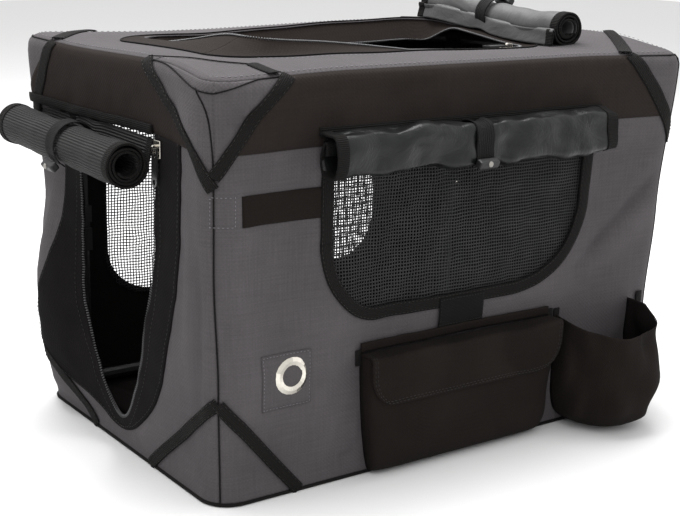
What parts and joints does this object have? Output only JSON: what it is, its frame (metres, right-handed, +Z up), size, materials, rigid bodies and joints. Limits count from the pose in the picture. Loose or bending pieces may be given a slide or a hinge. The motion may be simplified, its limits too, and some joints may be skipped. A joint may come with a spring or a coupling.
{
  "type": "soft dog carrier",
  "caption": "Soft-sided folding pet crate: fabric cover on a knee-jointed tube frame, with rolled mesh door, roof door, window flaps and side pockets.",
  "frame": {"origin": "middle of the underside of the floor panel, on the surface that the carrier stands on", "axes": "+Z up; -X towards the front door; -Y towards the side with the pockets"},
  "size_m": [0.5712, 0.4505, 0.4021],
  "materials": {
    "grey_polyester": "dark grey woven polyester, matte",
    "black_polyester": "black woven polyester, matte",
    "black_mesh": "black knitted net",
    "coated_cloth": "dark grey cloth with a satin coating",
    "black_webbing": "black woven tape",
    "black_steel": "black powder coat",
    "bright_steel": "nickel plated, worn satin",
    "black_nylon": "moulded, matte"
  },
  "bodies": {
    "base": {"floor_panel": "black_polyester", "floor_mat": "black_polyester", "base_frame": "black_steel", "right_wall": "grey_polyester", "left_wall": "grey_polyester", "front_wall": "grey_polyester", "rear_wall": "grey_polyester", "right_window_net": "black_mesh", "left_window_net": "black_mesh", "right_window_binding": "black_webbing", "left_window_binding": "black_webbing", "front_door_tape": "black_webbing", "flap_pocket": "black_polyester", "cup_pocket": "black_polyester", "base_bracket_front_left": "black_nylon", "base_bracket_front_right": "black_nylon", "base_bracket_rear_left": "black_nylon", "base_bracket_rear_right": "black_nylon"},
    "roof": {"roof_frame": "black_steel", "roof_panel": "grey_polyester", "roof_zip_tape": "black_webbing", "roof_bracket_front_left": "black_nylon", "roof_bracket_front_right": "black_nylon", "roof_bracket_rear_left": "black_nylon", "roof_bracket_rear_right": "black_nylon"},
    "upper_hems": {"front_door_header": "black_polyester", "right_flap_header": "black_polyester", "left_flap_header": "black_polyester"},
    "side_hems": {"pocket_hem": "black_polyester", "eyelet": "bright_steel", "eyelet_washer": "bright_steel"},
    "pocket_flap": {"pocket_flap": "black_polyester"},
    "front_roll": {"front_door_roll": "black_mesh", "front_door_roll_strap": "black_webbing", "front_door_roll_toggle": "black_nylon"},
    "right_roll": {"right_flap_roll": "coated_cloth", "right_flap_roll_strap": "black_webbing", "right_flap_roll_toggle": "black_nylon"},
    "left_roll": {"left_flap_roll": "coated_cloth", "left_flap_roll_strap": "black_webbing", "left_flap_roll_toggle": "black_nylon"},
    "roof_roll": {"roof_door_roll": "coated_cloth", "roof_door_roll_strap": "black_webbing", "roof_door_roll_toggle": "black_nylon"},
    "front_slider": {"front_zip_slider": "bright_steel"},
    "front_pull": {"front_zip_pull": "black_steel"},
    "roof_slider": {"roof_zip_slider": "bright_steel"},
    "roof_pull": {"roof_zip_pull": "black_steel"},
    "front_lower_legs": {"lower_leg_front_left": "black_steel", "lower_leg_front_right": "black_steel", "knee_pin_front_left": "bright_steel", "knee_pin_front_right": "bright_steel"},
    "front_upper_legs": {"upper_leg_front_left": "black_steel", "upper_leg_front_right": "black_steel"},
    "rear_lower_legs": {"lower_leg_rear_left": "black_steel", "lower_leg_rear_right": "black_steel", "knee_pin_rear_left": "bright_steel", "knee_pin_rear_right": "bright_steel"},
    "rear_upper_legs": {"upper_leg_rear_left": "black_steel", "upper_leg_rear_right": "black_steel"}
  },
  "joints": [
    {"name": "frame_fold", "type": "hinge", "parent": "base", "child": "front_lower_legs", "pos_m": [-0.231, 0, 0.0297], "axis": [0, 1, 0], "range_deg": [0, 82], "deforming": ["right_wall", "left_wall", "front_wall", "rear_wall", "right_window_net", "left_window_net", "right_window_binding", "left_window_binding", "front_door_tape", "flap_pocket", "cup_pocket"]},
    {"name": "front_knee", "type": "hinge", "parent": "front_lower_legs", "child": "front_upper_legs", "pos_m": [-0.239, 0, 0.1801], "axis": [0, 1, 0], "range_deg": [-164.2, 0]},
    {"name": "roof_level", "type": "hinge", "parent": "front_upper_legs", "child": "roof", "pos_m": [-0.231, 0, 0.3305], "axis": [0, 1, 0], "range_deg": [0, 82.2]},
    {"name": "rear_fold", "type": "hinge", "parent": "base", "child": "rear_lower_legs", "pos_m": [0.231, 0, 0.0297], "axis": [0, 1, 0], "range_deg": [-82.2, 0]},
    {"name": "rear_knee", "type": "hinge", "parent": "rear_lower_legs", "child": "rear_upper_legs", "pos_m": [0.239, 0, 0.1801], "axis": [0, 1, 0], "range_deg": [0, 164.2]},
    {"name": "upper_hems_rise", "type": "slide", "parent": "roof", "child": "upper_hems", "axis": [0, 0, 1], "range_m": [0, 0.0432]},
    {"name": "side_hems_drop", "type": "slide", "parent": "base", "child": "side_hems", "axis": [0, 0, -1], "range_m": [0, 0.0577]},
    {"name": "pocket_flap_lift", "type": "hinge", "parent": "side_hems", "child": "pocket_flap", "pos_m": [0, -0.174, 0.1139], "axis": [1, 0, 0], "range_deg": [-75, 0]},
    {"name": "front_roll_swing", "type": "hinge", "parent": "upper_hems", "child": "front_roll", "pos_m": [-0.2566, 0.0427, 0.2977], "axis": [0, 1, 0], "range_deg": [0, 80]},
    {"name": "right_roll_swing", "type": "hinge", "parent": "upper_hems", "child": "right_roll", "pos_m": [0.004, -0.1766, 0.306], "axis": [-1, 0, 0], "range_deg": [0, 80]},
    {"name": "left_roll_swing", "type": "hinge", "parent": "upper_hems", "child": "left_roll", "pos_m": [-0.01, 0.1766, 0.306], "axis": [1, 0, 0], "range_deg": [0, 80]},
    {"name": "roof_roll_lift", "type": "hinge", "parent": "roof", "child": "roof_roll", "pos_m": [0.16, -0.007, 0.3626], "axis": [0, -1, 0], "range_deg": [0, 75]},
    {"name": "front_zip", "type": "slide", "parent": "upper_hems", "child": "front_slider", "axis": [0, 0, 1], "range_m": [-0.085, 0]},
    {"name": "front_pull_swing", "type": "hinge", "parent": "front_slider", "child": "front_pull", "pos_m": [-0.2552, -0.078, 0.2895], "axis": [0, 1, 0], "range_deg": [0, 160]},
    {"name": "roof_zip", "type": "slide", "parent": "roof", "child": "roof_slider", "axis": [1, 0, 0], "range_m": [-0.25, 0]},
    {"name": "roof_pull_lift", "type": "hinge", "parent": "roof_slider", "child": "roof_pull", "pos_m": [0.1225, -0.088, 0.3616], "axis": [0, 1, 0], "range_deg": [0, 90]}
  ],
  "couplings": [
    {"joint": "front_knee", "follows": "frame_fold", "ratio": -2},
    {"joint": "roof_level", "follows": "frame_fold", "ratio": 1},
    {"joint": "rear_fold", "follows": "frame_fold", "ratio": -1},
    {"joint": "rear_knee", "follows": "frame_fold", "ratio": 2},
    {"joint": "upper_hems_rise", "follows": "frame_fold", "m_per_rad": 0.03},
    {"joint": "side_hems_drop", "follows": "frame_fold", "m_per_rad": 0.0402}
  ]
}
